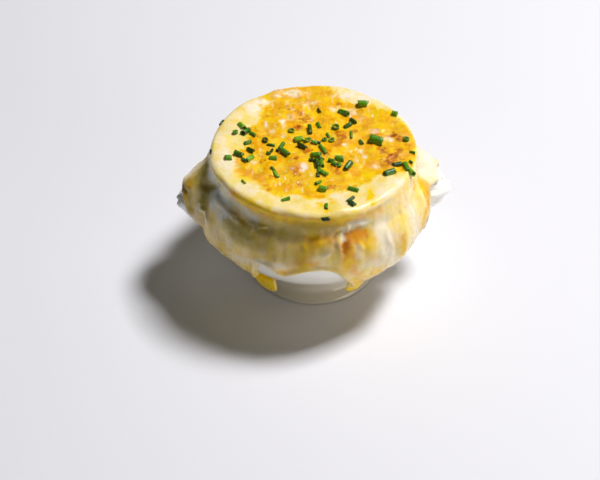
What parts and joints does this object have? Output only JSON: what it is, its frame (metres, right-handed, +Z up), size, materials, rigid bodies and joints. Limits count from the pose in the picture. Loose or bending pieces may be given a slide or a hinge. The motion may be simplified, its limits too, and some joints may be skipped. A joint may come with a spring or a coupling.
{
  "type": "french onion soup",
  "caption": "Gratineed onion soup in a footed white bowl with lion's heads: a golden cheese crust, cheese run down the outside, and cut chives on top.",
  "frame": {"origin": "centre of the bowl's foot, on the surface that it stands on", "axes": "+X through the lion's head that is on the right, +Y away from the viewer, +Z up"},
  "size_m": [0.1556, 0.1339, 0.0941],
  "materials": {
    "porcelain": "glossy white glaze",
    "melted_cheese": null,
    "chives": null
  },
  "bodies": {
    "root": {"bowl": "porcelain", "gratin": "melted_cheese"}
  },
  "joints": []
}
